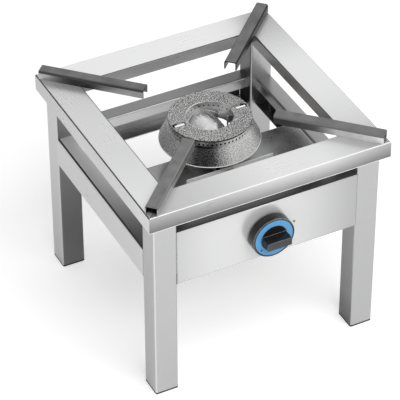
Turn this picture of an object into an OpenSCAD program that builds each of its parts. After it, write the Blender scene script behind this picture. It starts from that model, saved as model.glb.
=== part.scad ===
// Single-burner stool range for large stock pots, in folded stainless sheet on square legs.
// Millimetres, +Z up, the control side faces -Y, origin on the floor under the middle of the whole box.

/* [Top frame] */
// Width of the top frame, left to right
top_w = 400; // [360:5:520]
// Depth of the top frame, front to back
top_d = 400; // [360:5:520]
// Height of the top frame's upper face above the floor
top_z = 355; // [330:5:420]
// Width of each folded rail
rail_w = 51; // [48:1:60]
// Height of the outer skirt of a rail
skirt_h = 28; // [22:1:32]
// Height of the inner flange of a rail
rail_flange_h = 21; // [14:1:26]
// Thickness of the folded sheet
sheet_t = 1.5; // [1:0.1:2]
// Inside radius of every fold
bend_r = 1.5; // [0.5:0.1:2]

/* [Legs] */
// Outside width of the square leg tube
leg_w = 38; // [34:1:40]
// Wall of the leg tube
leg_wall = 1.5; // [1:0.1:2.5]
// Corner radius of the leg tube
leg_corner_r = 3; // [2.5:0.1:5]
// Height of the foot cap under the tube
foot_h = 3; // [2:0.5:8]
// Height of the foot's plug inside the tube
foot_plug_h = 15; // [8:1:30]
// Clearance between plug and tube
foot_clear = 0.1; // [0.05:0.05:0.4]

/* [Pot bars] */
// Width of a pot bar
bar_w = 20; // [16:1:26]
// Height of a pot bar above the frame
bar_h = 15; // [10:1:22]
// Wall of a pot bar
bar_t = 2; // [1.5:0.1:3]
// Length of a pot bar
bar_len = 170; // [130:5:180]

/* [Panels] */
// Height of the front panel's lower edge
front_z = 204.5; // [190:0.5:220]
// Height of the front panel
front_h = 99; // [90:1:105]
// Depth of the front panel's flanges
front_flange_d = 22; // [14:1:26]
// Height of the side and rear panels' lower edge
side_z = 207; // [195:1:215]
// Height of the side and rear panels
side_h = 51; // [46:1:56]
// Depth of the side and rear panels' flanges
side_flange_d = 26.5; // [20:0.5:30]
// Height of the lip that turns down from a side panel's upper flange
lip_h = 18; // [14:1:20]
// Radius of the relief notch at each end of a fold
notch_r = 1.5; // [0.8:0.1:2]

/* [Burner plate] */
// Depth of the plate under the burner, front to back
plate_d = 110; // [106:1:120]
// How far the plate reaches behind the burner's axis
plate_back = 24; // [20:1:30]
// Height of the plate's front and rear flanges
plate_flange_h = 12; // [8:1:14]
// Height of the plate's end flanges
plate_end_h = 16; // [13:1:17]

/* [Burner] */
// Height of the crown's upper face above the plate
burner_h = 82; // [80:0.5:90]
// Height of the lift-off crown
crown_h = 14; // [12:0.5:18]
// Radius of the crown's upper face
crown_r = 64.5; // [63:0.5:70]
// How far the crown's upper face stands out past its wall
crown_edge = 1.5; // [0.5:0.1:3]
// Thickness of the crown's upper face
crown_top_t = 4; // [3:0.5:5]
// Wall of the crown
crown_wall = 3.5; // [2.5:0.1:4]
// Radius of the opening through the burner
hole_r = 36; // [35:0.5:37]
// Chamfer round the foot of the crown, which shows the joint with the body
seat_chamfer = 0.6; // [0.2:0.1:1]
// Height of the ring chamber in the body
chamber_h = 15; // [13:0.5:16]
// Wall and floor of the cast body
cast_t = 3; // [2.5:0.1:4]
// Largest radius of the flared skirt round the body
flare_r = 78.5; // [76:0.5:84]
// Drop of the flared skirt
flare_h = 26; // [22:1:30]
// Outside radius of the mixing tube under the opening
tube_r = 31; // [29:0.5:31.5]
// Drop of the mixing tube's axis below the body's upper face
tube_drop = 32; // [31.5:0.5:34]
// Outside radius of the mixing tube's mouth
mouth_r = 16; // [14:0.5:17]
// Gap between the injector's bracket and the tube's mouth
mouth_gap = 16; // [14:1:20]
// Number of flame ports round the outside
outer_ports = 60; // [36:2:72]
// Number of flame ports round the opening
inner_ports = 30; // [18:2:36]
// Radius of a flame port
port_r = 1.2; // [0.8:0.1:1.5]

/* [Knob] */
// Height of the knob's axis above the floor
knob_z = 252; // [246:1:258]
// Radius of the knob
knob_r = 34.5; // [32:0.5:38]
// Length of the knob's skirt
knob_h = 16; // [12:0.5:22]
// Height of the grip bar in front of the skirt
grip_h = 18; // [12:0.5:24]
// Length of the grip bar
grip_w = 40.6; // [34:0.2:44]
// Thickness of the grip bar
grip_t = 13.6; // [10:0.2:16]
// Gap between the knob and the panel, which the push travel uses
knob_gap = 3.5; // [3.2:0.1:6]
// Outside radius of the coloured ring
dial_r = 31.2; // [29:0.2:32]
// Inside radius of the coloured ring
dial_hole_r = 22; // [20.6:0.2:25]

/* [Gas fittings] */
// Radius of the supply pipe
supply_r = 6; // [5:0.5:7]
// Radius of the pipe between valve and injector
feed_r = 4; // [3:0.5:5]
// Distance of the supply pipe to the right of the burner's axis
supply_x = 60; // [54:1:66]
// Radius of the threaded gas inlet
inlet_r = 10.48; // [9:0.01:11]
// Free length of the threaded gas inlet
inlet_len = 14; // [10:1:18]
// Radius of the valve's spindle
spindle_r = 4; // [3:0.5:5]
// Radius of the valve's round body
valve_r = 14; // [12:0.5:16]
// Running clearance round the spindle and on the injector's barrel
run_clear = 0.05; // [0.02:0.01:0.1]
// Width of the bracket that carries the injector
bracket_w = 147; // [140:1:156]
// Height of the bracket that carries the injector
bracket_h = 30; // [26:1:34]
// Distance of the bracket behind the plate's front edge
bracket_set = 20; // [19:0.5:24]
// Radius of the injector's barrel
barrel_r = 6; // [5:0.5:7]
// How far the air shutter's disc reaches past the mouth
shutter_edge = 1; // [0.5:0.5:3]

/* [Hidden] */
$fn = 64;

// Overrun of every cut past the face that it opens
over = 1;
// Facets of a small round hole
small_fn = 24;

// Folded sheet
fold_r = bend_r + sheet_t;

// Half sizes and the legs' places
half_w = top_w / 2;
half_d = top_d / 2;
leg_inset = rail_w - sheet_t - leg_w;
leg_x = half_w - leg_inset - leg_w / 2;
leg_y = half_d - leg_inset - leg_w / 2;
weld_gap = 0.2;
leg_top = top_z - sheet_t - weld_gap;
face_x = half_w - leg_inset;
face_y = half_d - leg_inset;
bay_x = leg_x - leg_w / 2;
bay_y = leg_y - leg_w / 2;

// Burner plate, flush with the side panels' upper flanges
plate_z = side_z + side_h;
plate_half = face_x - side_flange_d;
plate_front_y = plate_back - plate_d;
plate_mid_y = plate_back - plate_d / 2;
bracket_back_y = plate_front_y + bracket_set;
mouth_y = bracket_back_y + mouth_gap;

// Burner levels
crown_z = plate_z + burner_h;
body_z = crown_z - crown_h;
ring_z = body_z - chamber_h;
tube_z = body_z - tube_drop;
shutter_r = mouth_r + shutter_edge;
shutter_clear = 0.5;
mouth_z = plate_z + shutter_r + shutter_clear;
ring_in_r = hole_r + cast_t;
crown_seat = 2;
ring_wall = 5;
chamber_r = crown_r - crown_edge - crown_seat;
ring_out_r = chamber_r + ring_wall;
tube_back_y = chamber_r - cast_t;
pad_half_w = 14;
pad_half_d = 15;

// Crown details
crown_lip_h = 3;
crown_lip_clear = 0.4;
outer_port_rise = 5;
inner_port_rise = 7;
recess_x = 52;
recess_len = 22;
recess_w = 9;
recess_depth = 2.5;
lift_bar_len = 16;
lift_bar_w = 4;
lift_bar_shift = 1.5;
lift_hole_r = 1.5;

// Fasteners
bolt_r = 3;
bolt_clear = 0.2;
bolt_head_r = 5.5;
bolt_head_h = 4;
bolt_nut_h = 5;
bolt_tip = 2;
plate_bolt_inset = 27;
plate_bolt_y = [plate_front_y + plate_bolt_inset, plate_back - plate_bolt_inset];
plate_bolt_drop = 10;
burner_bolt_y = 8;
burner_bolt_h = 5;
screw_r = 2.5;
screw_head_r = 4.5;
screw_head_h = 2.8;
screw_nut_h = 4;
bracket_screw_inset = 13.5;
bracket_screw_x = bracket_w / 2 - bracket_screw_inset;

// Injector, its bracket and holder
bracket_foot_d = 15;
injector_hex_r = 10;
injector_hex_h = 7;
barrel_back = 14;
jet_r = 1;
holder_r = 9;
holder_h = 18;
shutter_t = 2;
shutter_hub_r = 9;
shutter_hub_h = 5;
shutter_gap = 2.5;

// Valve behind the front panel
panel_in_y = -face_y + sheet_t;
valve_flange_w = 46;
valve_flange_h = 26;
valve_flange_t = 4;
valve_len = 35;
valve_screw_x = 18;
valve_screw_r = 2;
valve_screw_head_r = 3.5;
valve_screw_head_h = 2.2;
block_half_w = 12;
block_front = 9;
block_len = 28;
supply_drop = 24;
supply_z = knob_z - supply_drop;
block_under = 9;
inlet_boss_r = 10;
inlet_boss_x = 24;
outlet_boss_r = 9;
outlet_boss_h = 4;
magnet_r = 8.5;
magnet_len = 28;
spindle_hole_r = 7;
spindle_depth = 15;
plug_front = 9;
plug_len = 18;
plug_r = 8;
plug_bore = 12;
valve_back_y = panel_in_y + valve_flange_t + valve_len;
plug_y = panel_in_y + plug_front;
block_y = panel_in_y + block_front;
block_back_y = block_y + block_len;
boss_y = block_y + block_len / 2;
magnet_back_y = block_back_y + magnet_len;

// Knob
knob_back_y = -face_y - knob_gap;
knob_face_y = knob_back_y - knob_h;
knob_front_y = knob_face_y - grip_h;
index_x = 44;
index_rise = 1.7;
index_head_r = 1.9;
index_head_h = 0.6;
index_shank_r = 1.2;
knob_wall = 2.5;
knob_chamfer = 1;
hub_r = 8;
hub_clear = 0.02;
dial_t = 1.5;
dial_sink = 0.4;
grip_round = 1.5;

// Pipes and fittings
pipe_wall = 1;
feed_bend_r = 10;
feed_nut_h = 6;
feed_start_y = valve_back_y + outlet_boss_h + feed_nut_h;
bracket_face_y = bracket_back_y - sheet_t;
injector_hex_y = bracket_face_y - injector_hex_h;
bracket_screw_y = bracket_face_y - bracket_foot_d / 2;
supply_bend_r = 18;
supply_nut_h = 12;
supply_nut_r = 12;
inlet_hex_r = 15;
inlet_hex_h = 3;
inlet_tail = 16;
locknut_h = 5;
locknut_r = 15;
inlet_clear = 0.3;
inlet_back_y = face_y + inlet_hex_h + inlet_len;
inlet_tail_y = face_y - sheet_t - inlet_tail;

// Thermocouple beside the mixing tube
probe_x = 33;
probe_y = 4.8;
probe_r = 1.5;
probe_top = body_z;
probe_len = 64;
probe_nut_r = 5;
probe_nut_h = 4;
lead_r = 1.5;
tab_rise = 13.5;
tab_half_w = 7.5;
tab_in_x = 27;
tab_out_x = 46;
tab_foot_x = 60;
tab_screw_x = 53;
lead_hole_r = 3;
lead_turn_r = 8;
lead_stub = 6;

// The frame's middle lies behind the origin by half of what the knob reaches past the gas inlet
frame_y = (-knob_front_y - inlet_back_y) / 2;

// Moves a piece from the frame's own middle to the origin's frame
module placed() {
    translate([0, frame_y, 0]) children();
}

// Quarter of a ring in the quadrant that the two signs give
module quarter_ring(r_in, r_out, sx, sy) {
    intersection() {
        difference() {
            circle(r = r_out);
            circle(r = r_in);
        }
        translate([sx > 0 ? 0 : -r_out, sy > 0 ? 0 : -r_out]) square(r_out);
    }
}

// Square with round corners, centred
module round_square(w, r) {
    square([w, w - 2 * r], center = true);
    square([w - 2 * r, w], center = true);
    for (sx = [-1, 1], sy = [-1, 1]) translate([sx * (w / 2 - r), sy * (w / 2 - r)]) circle(r = r);
}

// Folded channel, open below: origin at the outer upper edge
module channel_section(w, outer_h, inner_h, t, r) {
    o = r + t;
    translate([0, -outer_h]) square([t, outer_h - o]);
    translate([o, -o]) quarter_ring(r, o, -1, 1);
    translate([o, -t]) square([w - 2 * o, t]);
    translate([w - o, -o]) quarter_ring(r, o, 1, 1);
    translate([w - t, -inner_h]) square([t, inner_h - o]);
}

// Folded C section with its web at the origin, and a lip where lip is over zero
module panel_section(h, d, lip) {
    translate([0, fold_r]) square([sheet_t, h - 2 * fold_r]);
    translate([fold_r, fold_r]) quarter_ring(bend_r, fold_r, -1, -1);
    translate([fold_r, 0]) square([d - fold_r, sheet_t]);
    translate([fold_r, h - fold_r]) quarter_ring(bend_r, fold_r, -1, 1);
    if (lip > 0) {
        translate([fold_r, h - sheet_t]) square([d - 2 * fold_r, sheet_t]);
        translate([d - fold_r, h - fold_r]) quarter_ring(bend_r, fold_r, 1, 1);
        translate([d - sheet_t, h - lip]) square([sheet_t, lip - fold_r]);
    } else {
        translate([fold_r, h - sheet_t]) square([d - fold_r, sheet_t]);
    }
}

// Extrudes a section along X, with the section's x axis along +Y, centred on length
module along_x(length) {
    translate([-length / 2, 0, 0]) rotate([90, 0, 90]) linear_extrude(length) children();
}

// Cylinder along Y from y, in the +Y direction
module along_y(y, h, r, sides = 64) {
    translate([0, y, 0]) rotate([-90, 0, 0]) cylinder(h = h, r = r, $fn = sides);
}

// Straight rail with mitred ends, lying along the front at the given half depth
module mitred_rail(length, half) {
    intersection() {
        translate([0, -half, top_z]) along_x(length)
            channel_section(rail_w, skirt_h, rail_flange_h, sheet_t, bend_r);
        translate([0, -half, top_z - skirt_h - over]) linear_extrude(skirt_h + 2 * over) polygon([
            [-length / 2, 0], [length / 2, 0],
            [length / 2 - rail_w, rail_w], [-length / 2 + rail_w, rail_w]
        ]);
    }
}

module top_rail_front() { color("gainsboro") placed() mitred_rail(top_w, half_d); }
module top_rail_rear() { color("gainsboro") placed() rotate(180) mitred_rail(top_w, half_d); }
module top_rail_left() { color("lightgray") placed() rotate(-90) mitred_rail(top_d, half_w); }
module top_rail_right() { color("lightgray") placed() rotate(90) mitred_rail(top_d, half_w); }

module leg(sx, sy) {
    color("silver") placed() translate([sx * leg_x, sy * leg_y, foot_h])
        linear_extrude(leg_top - foot_h) difference() {
            round_square(leg_w, leg_corner_r);
            round_square(leg_w - 2 * leg_wall, leg_corner_r - leg_wall);
        }
}

module foot(sx, sy) {
    plug_w = leg_w - 2 * leg_wall - 2 * foot_clear;
    color([0.24, 0.24, 0.25]) placed() translate([sx * leg_x, sy * leg_y, 0]) {
        linear_extrude(foot_h) round_square(leg_w, leg_corner_r);
        linear_extrude(foot_h + foot_plug_h) round_square(plug_w, leg_corner_r - leg_wall);
    }
}

module leg_front_left() { leg(-1, -1); }
module leg_front_right() { leg(1, -1); }
module leg_rear_left() { leg(-1, 1); }
module leg_rear_right() { leg(1, 1); }
module foot_front_left() { foot(-1, -1); }
module foot_front_right() { foot(1, -1); }
module foot_rear_left() { foot(-1, 1); }
module foot_rear_right() { foot(1, 1); }

// Inverted channel on the diagonal of one corner, its outer end level with the frame's edges
module pot_bar(sx, sy) {
    color("darkgray") placed() translate([sx * half_w, sy * half_d, top_z + bar_h])
        rotate(atan2(-sy, -sx)) translate([bar_w / 2 + bar_len / 2, -bar_w / 2, 0])
            along_x(bar_len) channel_section(bar_w, bar_h, bar_h, bar_t, bend_r);
}

module pot_bar_front_left() { pot_bar(-1, -1); }
module pot_bar_front_right() { pot_bar(1, -1); }
module pot_bar_rear_left() { pot_bar(-1, 1); }
module pot_bar_rear_right() { pot_bar(1, 1); }

// Round reliefs at both ends of a panel's upper outer fold
module fold_notches(length, h) {
    for (s = [-1, 1]) translate([s * length / 2, fold_r, h - fold_r])
        cylinder(h = fold_r + over, r = notch_r, $fn = small_fn);
}

module front_panel() {
    color("gainsboro") placed() difference() {
        translate([0, -face_y, front_z]) along_x(2 * bay_x) panel_section(front_h, front_flange_d, 0);
        translate([0, 0, knob_z]) along_y(-face_y - over, sheet_t + 2 * over, spindle_hole_r);
        for (s = [-1, 1]) translate([s * valve_screw_x, 0, knob_z])
            along_y(-face_y - over, sheet_t + 2 * over, valve_screw_r + bolt_clear, small_fn);
        translate([index_x, 0, knob_z + index_rise])
            along_y(-face_y - over, sheet_t + 2 * over, index_shank_r, small_fn);
    }
}

// Panel with a lip, lying along the front of a square of the given half depth
module lipped_panel(length, half) {
    translate([0, -half, side_z]) difference() {
        along_x(length) panel_section(side_h, side_flange_d, lip_h);
        fold_notches(length, side_h);
    }
}

// Holes for the bolts between a side panel's lip and the plate, as seen on the given side
module plate_bolt_holes(sx) {
    for (y = plate_bolt_y) translate([sx * (plate_half - fold_r), y, plate_z - plate_bolt_drop])
        rotate([0, sx * 90, 0]) cylinder(h = 2 * fold_r, r = bolt_r + bolt_clear, $fn = small_fn);
}

module left_panel() {
    color("gainsboro") placed() difference() {
        rotate(-90) lipped_panel(2 * bay_y, face_x);
        plate_bolt_holes(-1);
    }
}

module right_panel() {
    color("gainsboro") placed() difference() {
        rotate(90) lipped_panel(2 * bay_y, face_x);
        plate_bolt_holes(1);
    }
}

module rear_panel() {
    color("lightgray") placed() difference() {
        rotate(180) lipped_panel(2 * bay_x, face_y);
        translate([supply_x, 0, supply_z])
            along_y(face_y - sheet_t - over, sheet_t + 2 * over, inlet_r + inlet_clear);
    }
}

// Hole straight down through the plate
module plate_hole(x, y, r) {
    translate([x, y, plate_z - sheet_t - over]) cylinder(h = sheet_t + 2 * over, r = r, $fn = small_fn);
}

module burner_plate() {
    color("darkgray") placed() difference() {
        union() {
            translate([0, plate_front_y, plate_z]) along_x(2 * (plate_half - fold_r))
                channel_section(plate_d, plate_flange_h, plate_flange_h, sheet_t, bend_r);
            translate([0, plate_mid_y, plate_z]) rotate(90) translate([0, -plate_half, 0])
                along_x(plate_d - 2 * fold_r)
                    channel_section(2 * plate_half, plate_end_h, plate_end_h, sheet_t, bend_r);
        }
        for (s = [-1, 1]) {
            plate_bolt_holes(s);
            plate_hole(0, s * burner_bolt_y, bolt_r + bolt_clear);
            plate_hole(s * bracket_screw_x, bracket_screw_y, screw_r + bolt_clear);
        }
        plate_hole(probe_x, probe_y, lead_hole_r);
        plate_hole(tab_screw_x, probe_y, screw_r + bolt_clear);
    }
}

// Bolt with its head above z = 0, its clamped stack below, and a nut under the stack
module bolt_and_nut(r, head_r, head_h, stack, nut_h) {
    cylinder(h = head_h, r = head_r, $fn = 6);
    translate([0, 0, -stack - nut_h - bolt_tip]) cylinder(h = stack + nut_h + bolt_tip + head_h / 2, r = r);
    translate([0, 0, -stack - nut_h]) cylinder(h = nut_h, r = head_r, $fn = 6);
}

module plate_bolts() {
    color("lightgray") placed() for (sx = [-1, 1], y = plate_bolt_y)
        translate([sx * (plate_half - sheet_t), y, plate_z - plate_bolt_drop]) rotate([0, -sx * 90, 0])
            bolt_and_nut(bolt_r, bolt_head_r, bolt_head_h, 2 * sheet_t, bolt_nut_h);
}

// Bolts from under the plate up into the burner's pad
module burner_bolts() {
    color("lightgray") placed() for (sy = [-1, 1]) translate([0, sy * burner_bolt_y, plate_z - sheet_t]) {
        translate([0, 0, -bolt_head_h]) cylinder(h = bolt_head_h, r = bolt_head_r, $fn = 6);
        translate([0, 0, -bolt_head_h / 2]) cylinder(h = burner_bolt_h + sheet_t, r = bolt_r);
    }
}

// Ring with the gas chamber, open above, and the flared skirt round it
module body_ring_section() {
    rise = flare_h - chamber_h;
    slope = (flare_r - ring_out_r) / flare_h;
    polygon([
        [hole_r, ring_z], [hole_r, body_z], [ring_in_r, body_z], [ring_in_r, ring_z + cast_t],
        [chamber_r, ring_z + cast_t], [chamber_r, body_z], [ring_out_r, body_z],
        [flare_r, body_z - flare_h], [flare_r - cast_t, body_z - flare_h],
        [flare_r - cast_t - slope * rise, ring_z]
    ]);
}

// Tube from the mouth up to the opening, then level to its closed rear end
module mixing_tube(shrink, back_y) {
    hull() {
        translate([0, 0, mouth_z]) along_y(mouth_y, cast_t, mouth_r - shrink);
        translate([0, 0, tube_z]) along_y(0, cast_t, tube_r - shrink);
    }
    translate([0, 0, tube_z]) along_y(0, back_y, tube_r - shrink);
}

module burner_body() {
    color([0.62, 0.62, 0.6]) placed() difference() {
        union() {
            rotate_extrude() body_ring_section();
            mixing_tube(0, tube_back_y);
            translate([-pad_half_w, -pad_half_d, plate_z])
                cube([2 * pad_half_w, 2 * pad_half_d, tube_z - tube_r / 2 - plate_z]);
        }
        mixing_tube(cast_t, tube_back_y - cast_t);
        translate([0, 0, mouth_z]) along_y(mouth_y - over, 2 * over, mouth_r - cast_t);
        rotate_extrude() translate([ring_in_r, ring_z + cast_t])
            square([chamber_r - ring_in_r, chamber_h]);
        for (sy = [-1, 1]) translate([0, sy * burner_bolt_y, plate_z - over])
            cylinder(h = burner_bolt_h + over, r = bolt_r);
    }
}

// Hollow cap that closes the chamber, with its locating lip inside the chamber
module crown_section() {
    low = body_z;
    under = crown_z - crown_top_t;
    wall_r = crown_r - crown_edge;
    lip_out = chamber_r - crown_lip_clear;
    edge = crown_top_t - crown_edge;
    polygon([
        [hole_r + seat_chamfer, low], [hole_r, low + seat_chamfer],
        [hole_r, crown_z - crown_edge / 2], [hole_r + crown_edge / 2, crown_z],
        [crown_r - crown_edge / 2, crown_z], [crown_r, crown_z - crown_edge / 2],
        [crown_r, crown_z - edge], [wall_r, crown_z - edge], [wall_r, low + seat_chamfer],
        [wall_r - seat_chamfer, low], [lip_out, low],
        [lip_out, low - crown_lip_h], [lip_out - crown_wall / 2, low - crown_lip_h],
        [wall_r - crown_wall, under], [hole_r + crown_wall, under], [hole_r + crown_wall, low]
    ]);
}

// Outline with round ends, along X
module slot_outline(length, w) {
    square([length - w, w], center = true);
    for (s = [-1, 1]) translate([s * (length - w) / 2, 0]) circle(d = w);
}

module burner_crown() {
    color([0.66, 0.66, 0.64]) placed() difference() {
        rotate_extrude() crown_section();
        for (i = [0 : outer_ports - 1]) rotate(i * 360 / outer_ports)
            translate([crown_r - 2 * crown_wall, 0, body_z + outer_port_rise])
                rotate([0, 90, 0]) cylinder(h = 2 * crown_wall + over, r = port_r, $fn = 16);
        for (i = [0 : inner_ports - 1]) rotate((i + 1 / 2) * 360 / inner_ports)
            translate([hole_r - over, 0, body_z + inner_port_rise])
                rotate([0, 90, 0]) cylinder(h = crown_wall + 2 * over, r = port_r, $fn = 16);
        for (s = [-1, 1]) translate([s * recess_x, 0, crown_z - recess_depth]) {
            linear_extrude(recess_depth + over) slot_outline(recess_len, recess_w);
            translate([-(lift_bar_len + 2 * lift_hole_r) / 2, -lift_bar_shift, -crown_top_t])
                cylinder(h = crown_top_t + over, r = lift_hole_r, $fn = small_fn);
        }
    }
}

module crown_lift_bars() {
    color("whitesmoke") placed() for (s = [-1, 1])
        translate([s * recess_x - lift_bar_len / 2, -lift_bar_shift - lift_bar_w / 2, crown_z - recess_depth])
            cube([lift_bar_len, lift_bar_w, recess_depth]);
}

// Upright plate on the burner plate, with a foot turned to the front
module injector_bracket() {
    color("silver") placed() difference() {
        union() {
            translate([-bracket_w / 2, bracket_face_y, plate_z]) cube([bracket_w, sheet_t, bracket_h]);
            translate([-bracket_w / 2, bracket_face_y - bracket_foot_d, plate_z])
                cube([bracket_w, bracket_foot_d + sheet_t, sheet_t]);
        }
        translate([0, 0, mouth_z]) along_y(bracket_face_y - over, sheet_t + 2 * over, barrel_r + bolt_clear);
        for (sx = [-1, 1]) translate([sx * bracket_screw_x, bracket_screw_y, plate_z - over])
            cylinder(h = sheet_t + 2 * over, r = screw_r + bolt_clear, $fn = small_fn);
    }
}

module bracket_screws() {
    color("lightgray") placed() {
        for (sx = [-1, 1]) translate([sx * bracket_screw_x, bracket_screw_y, plate_z + sheet_t])
            bolt_and_nut(screw_r, screw_head_r, screw_head_h, 2 * sheet_t, screw_nut_h);
        translate([tab_screw_x, probe_y, plate_z + sheet_t])
            bolt_and_nut(screw_r, screw_head_r, screw_head_h, 2 * sheet_t, screw_nut_h);
    }
}

module injector() {
    color("goldenrod") placed() translate([0, 0, mouth_z]) difference() {
        union() {
            along_y(injector_hex_y, injector_hex_h, injector_hex_r, 6);
            along_y(injector_hex_y, injector_hex_h + sheet_t + barrel_back, barrel_r);
        }
        along_y(injector_hex_y - over, injector_hex_h + barrel_back, feed_r - pipe_wall);
        along_y(injector_hex_y, 2 * barrel_back + injector_hex_h, jet_r, small_fn);
    }
}

module injector_holder() {
    color("darkgoldenrod") placed() translate([0, 0, mouth_z]) difference() {
        along_y(injector_hex_y - holder_h, holder_h, holder_r);
        along_y(injector_hex_y - holder_h - over, holder_h + 2 * over, feed_r + run_clear);
    }
}

// Disc with a hub that slides on the injector's barrel in front of the mouth
module air_shutter() {
    hub_y = bracket_back_y + shutter_gap;
    color("silver") placed() translate([0, 0, mouth_z]) difference() {
        union() {
            along_y(hub_y, shutter_t, shutter_r);
            along_y(hub_y, shutter_hub_h, shutter_hub_r);
        }
        along_y(hub_y - over, shutter_hub_h + 2 * over, barrel_r + run_clear);
    }
}

module valve_body() {
    color("darkgoldenrod") placed() difference() {
        union() {
            translate([-valve_flange_w / 2, panel_in_y, knob_z - valve_flange_h / 2])
                cube([valve_flange_w, valve_flange_t, valve_flange_h]);
            translate([0, 0, knob_z]) along_y(panel_in_y, valve_flange_t + valve_len, valve_r);
            translate([0, 0, knob_z]) along_y(valve_back_y - over, outlet_boss_h + over, outlet_boss_r);
            translate([-block_half_w, block_y, supply_z - block_under])
                cube([2 * block_half_w, block_len, supply_drop + block_under]);
            translate([0, boss_y, supply_z]) rotate([0, 90, 0]) cylinder(h = inlet_boss_x, r = inlet_boss_r);
            translate([0, 0, supply_z]) along_y(block_y + over, block_len + magnet_len - over, magnet_r);
        }
        translate([0, 0, knob_z]) {
            along_y(panel_in_y - over, plug_front + 2 * over, spindle_r + run_clear);
            along_y(plug_y - run_clear, plug_len + 2 * run_clear, plug_r + run_clear);
            along_y(plug_y + plug_len, valve_back_y - plug_y, feed_r - pipe_wall);
        }
        for (s = [-1, 1]) translate([s * valve_screw_x, 0, knob_z])
            along_y(panel_in_y - over, valve_flange_t + 2 * over, valve_screw_r, small_fn);
        translate([0, boss_y, supply_z]) {
            cylinder(h = supply_drop, r = feed_r - pipe_wall);
            rotate([0, 90, 0]) cylinder(h = inlet_boss_x + over, r = supply_r - pipe_wall);
        }
    }
}

// Screws through the front panel into the valve's flange, under the knob
module valve_screws() {
    color("lightgray") placed() for (s = [-1, 1]) translate([s * valve_screw_x, 0, knob_z]) {
        along_y(-face_y - valve_screw_head_h, valve_screw_head_h, valve_screw_head_r, small_fn);
        along_y(-face_y - valve_screw_head_h, valve_screw_head_h + sheet_t + valve_flange_t,
            valve_screw_r, small_fn);
    }
}

// Round plug that the spindle turns inside the valve
module valve_plug() {
    color("goldenrod") placed() translate([0, 0, knob_z]) difference() {
        along_y(plug_y, plug_len, plug_r);
        along_y(plug_y - over, plug_bore + over, spindle_r + run_clear);
    }
}

module valve_spindle() {
    front_y = knob_face_y + knob_wall;
    color("silver") placed() translate([0, 0, knob_z])
        along_y(front_y, panel_in_y + spindle_depth - front_y, spindle_r);
}

// Small headed rivet in the front panel that marks the closed position
module index_rivet() {
    color([0.45, 0.45, 0.3]) placed() translate([index_x, 0, knob_z + index_rise]) {
        along_y(-face_y - index_head_h, index_head_h, index_head_r, small_fn);
        along_y(-face_y - index_head_h / 2, 2 * sheet_t, index_shank_r, small_fn);
    }
}

// Hollow round skirt with a grip bar, a hub for the spindle and a groove for the coloured ring
module control_knob() {
    color([0.1, 0.1, 0.11]) placed() translate([0, 0, knob_z]) difference() {
        union() {
            translate([0, knob_back_y, 0]) rotate([90, 0, 0]) cylinder(h = knob_h - knob_chamfer, r = knob_r);
            translate([0, knob_face_y, 0]) rotate([-90, 0, 0])
                cylinder(h = knob_chamfer, r1 = knob_r - knob_chamfer, r2 = knob_r);
            translate([0, knob_face_y + knob_wall, 0]) rotate([90, 0, 0])
                linear_extrude(knob_wall + grip_h) grip_outline();
        }
        difference() {
            along_y(knob_face_y + 2 * knob_wall, knob_h, knob_r - knob_wall);
            along_y(knob_face_y, knob_h, hub_r);
        }
        along_y(knob_face_y + knob_wall, knob_h, spindle_r + hub_clear);
        difference() {
            along_y(knob_face_y - over, over + dial_sink + dial_t, dial_r);
            along_y(knob_face_y - 2 * over, 4 * over + dial_sink + dial_t, dial_hole_r);
            translate([0, knob_face_y + knob_wall, 0]) rotate([90, 0, 0])
                linear_extrude(knob_wall + grip_h) grip_outline();
        }
    }
}

// Outline of the grip bar with small round corners
module grip_outline() {
    square([grip_w, grip_t - 2 * grip_round], center = true);
    square([grip_w - 2 * grip_round, grip_t], center = true);
    for (sx = [-1, 1], sz = [-1, 1])
        translate([sx * (grip_w / 2 - grip_round), sz * (grip_t / 2 - grip_round)]) circle(r = grip_round);
}

module knob_dial_ring() {
    color([0.33, 0.64, 0.87]) placed() translate([0, 0, knob_z]) difference() {
        along_y(knob_face_y + dial_sink, dial_t, dial_r - hub_clear);
        along_y(knob_face_y, dial_t + 2 * dial_sink, dial_hole_r + hub_clear);
    }
}

// Straight run of pipe from the origin along +Y; what follows starts at its end
module run(length, r) {
    along_y(0, length, r);
    translate([0, length, 0]) children();
}

// Quarter bend from the origin that turns from +Y toward +X; what follows starts at its end
module bend(turn_r, r) {
    translate([turn_r, 0, 0]) rotate(90)
        rotate_extrude(angle = 90) translate([turn_r, 0]) circle(r = r);
    translate([turn_r, turn_r, 0]) rotate(-90) children();
}

// Bent pipe from the valve's rear outlet up to the injector's axis
module feed_pipe() {
    color("peru") placed() translate([0, feed_start_y - feed_nut_h, knob_z])
        run(feed_nut_h, feed_r) rotate([0, -90, 0]) bend(feed_bend_r, feed_r)
            run(mouth_z - knob_z - 2 * feed_bend_r, feed_r) mirror([1, 0, 0]) bend(feed_bend_r, feed_r)
                run(injector_hex_y - feed_start_y - 2 * feed_bend_r, feed_r);
}

module feed_pipe_nuts() {
    color("goldenrod") placed() {
        translate([0, 0, knob_z]) difference() {
            along_y(feed_start_y - feed_nut_h, feed_nut_h, outlet_boss_r, 6);
            along_y(feed_start_y - feed_nut_h - over, feed_nut_h + 2 * over, feed_r + run_clear);
        }
        translate([0, 0, mouth_z]) difference() {
            along_y(injector_hex_y - holder_h - feed_nut_h, feed_nut_h, outlet_boss_r, 6);
            along_y(injector_hex_y - holder_h - feed_nut_h - over, feed_nut_h + 2 * over, feed_r + run_clear);
        }
    }
}

// Pipe from the rear inlet forward, round a bend, to the valve's side inlet
module supply_pipe() {
    color("peru") placed() translate([inlet_boss_x, boss_y, supply_z]) rotate(-90)
        run(supply_x - supply_bend_r - inlet_boss_x, supply_r)
            mirror([1, 0, 0]) bend(supply_bend_r, supply_r)
                run(inlet_tail_y - boss_y - supply_bend_r, supply_r);
}

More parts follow.
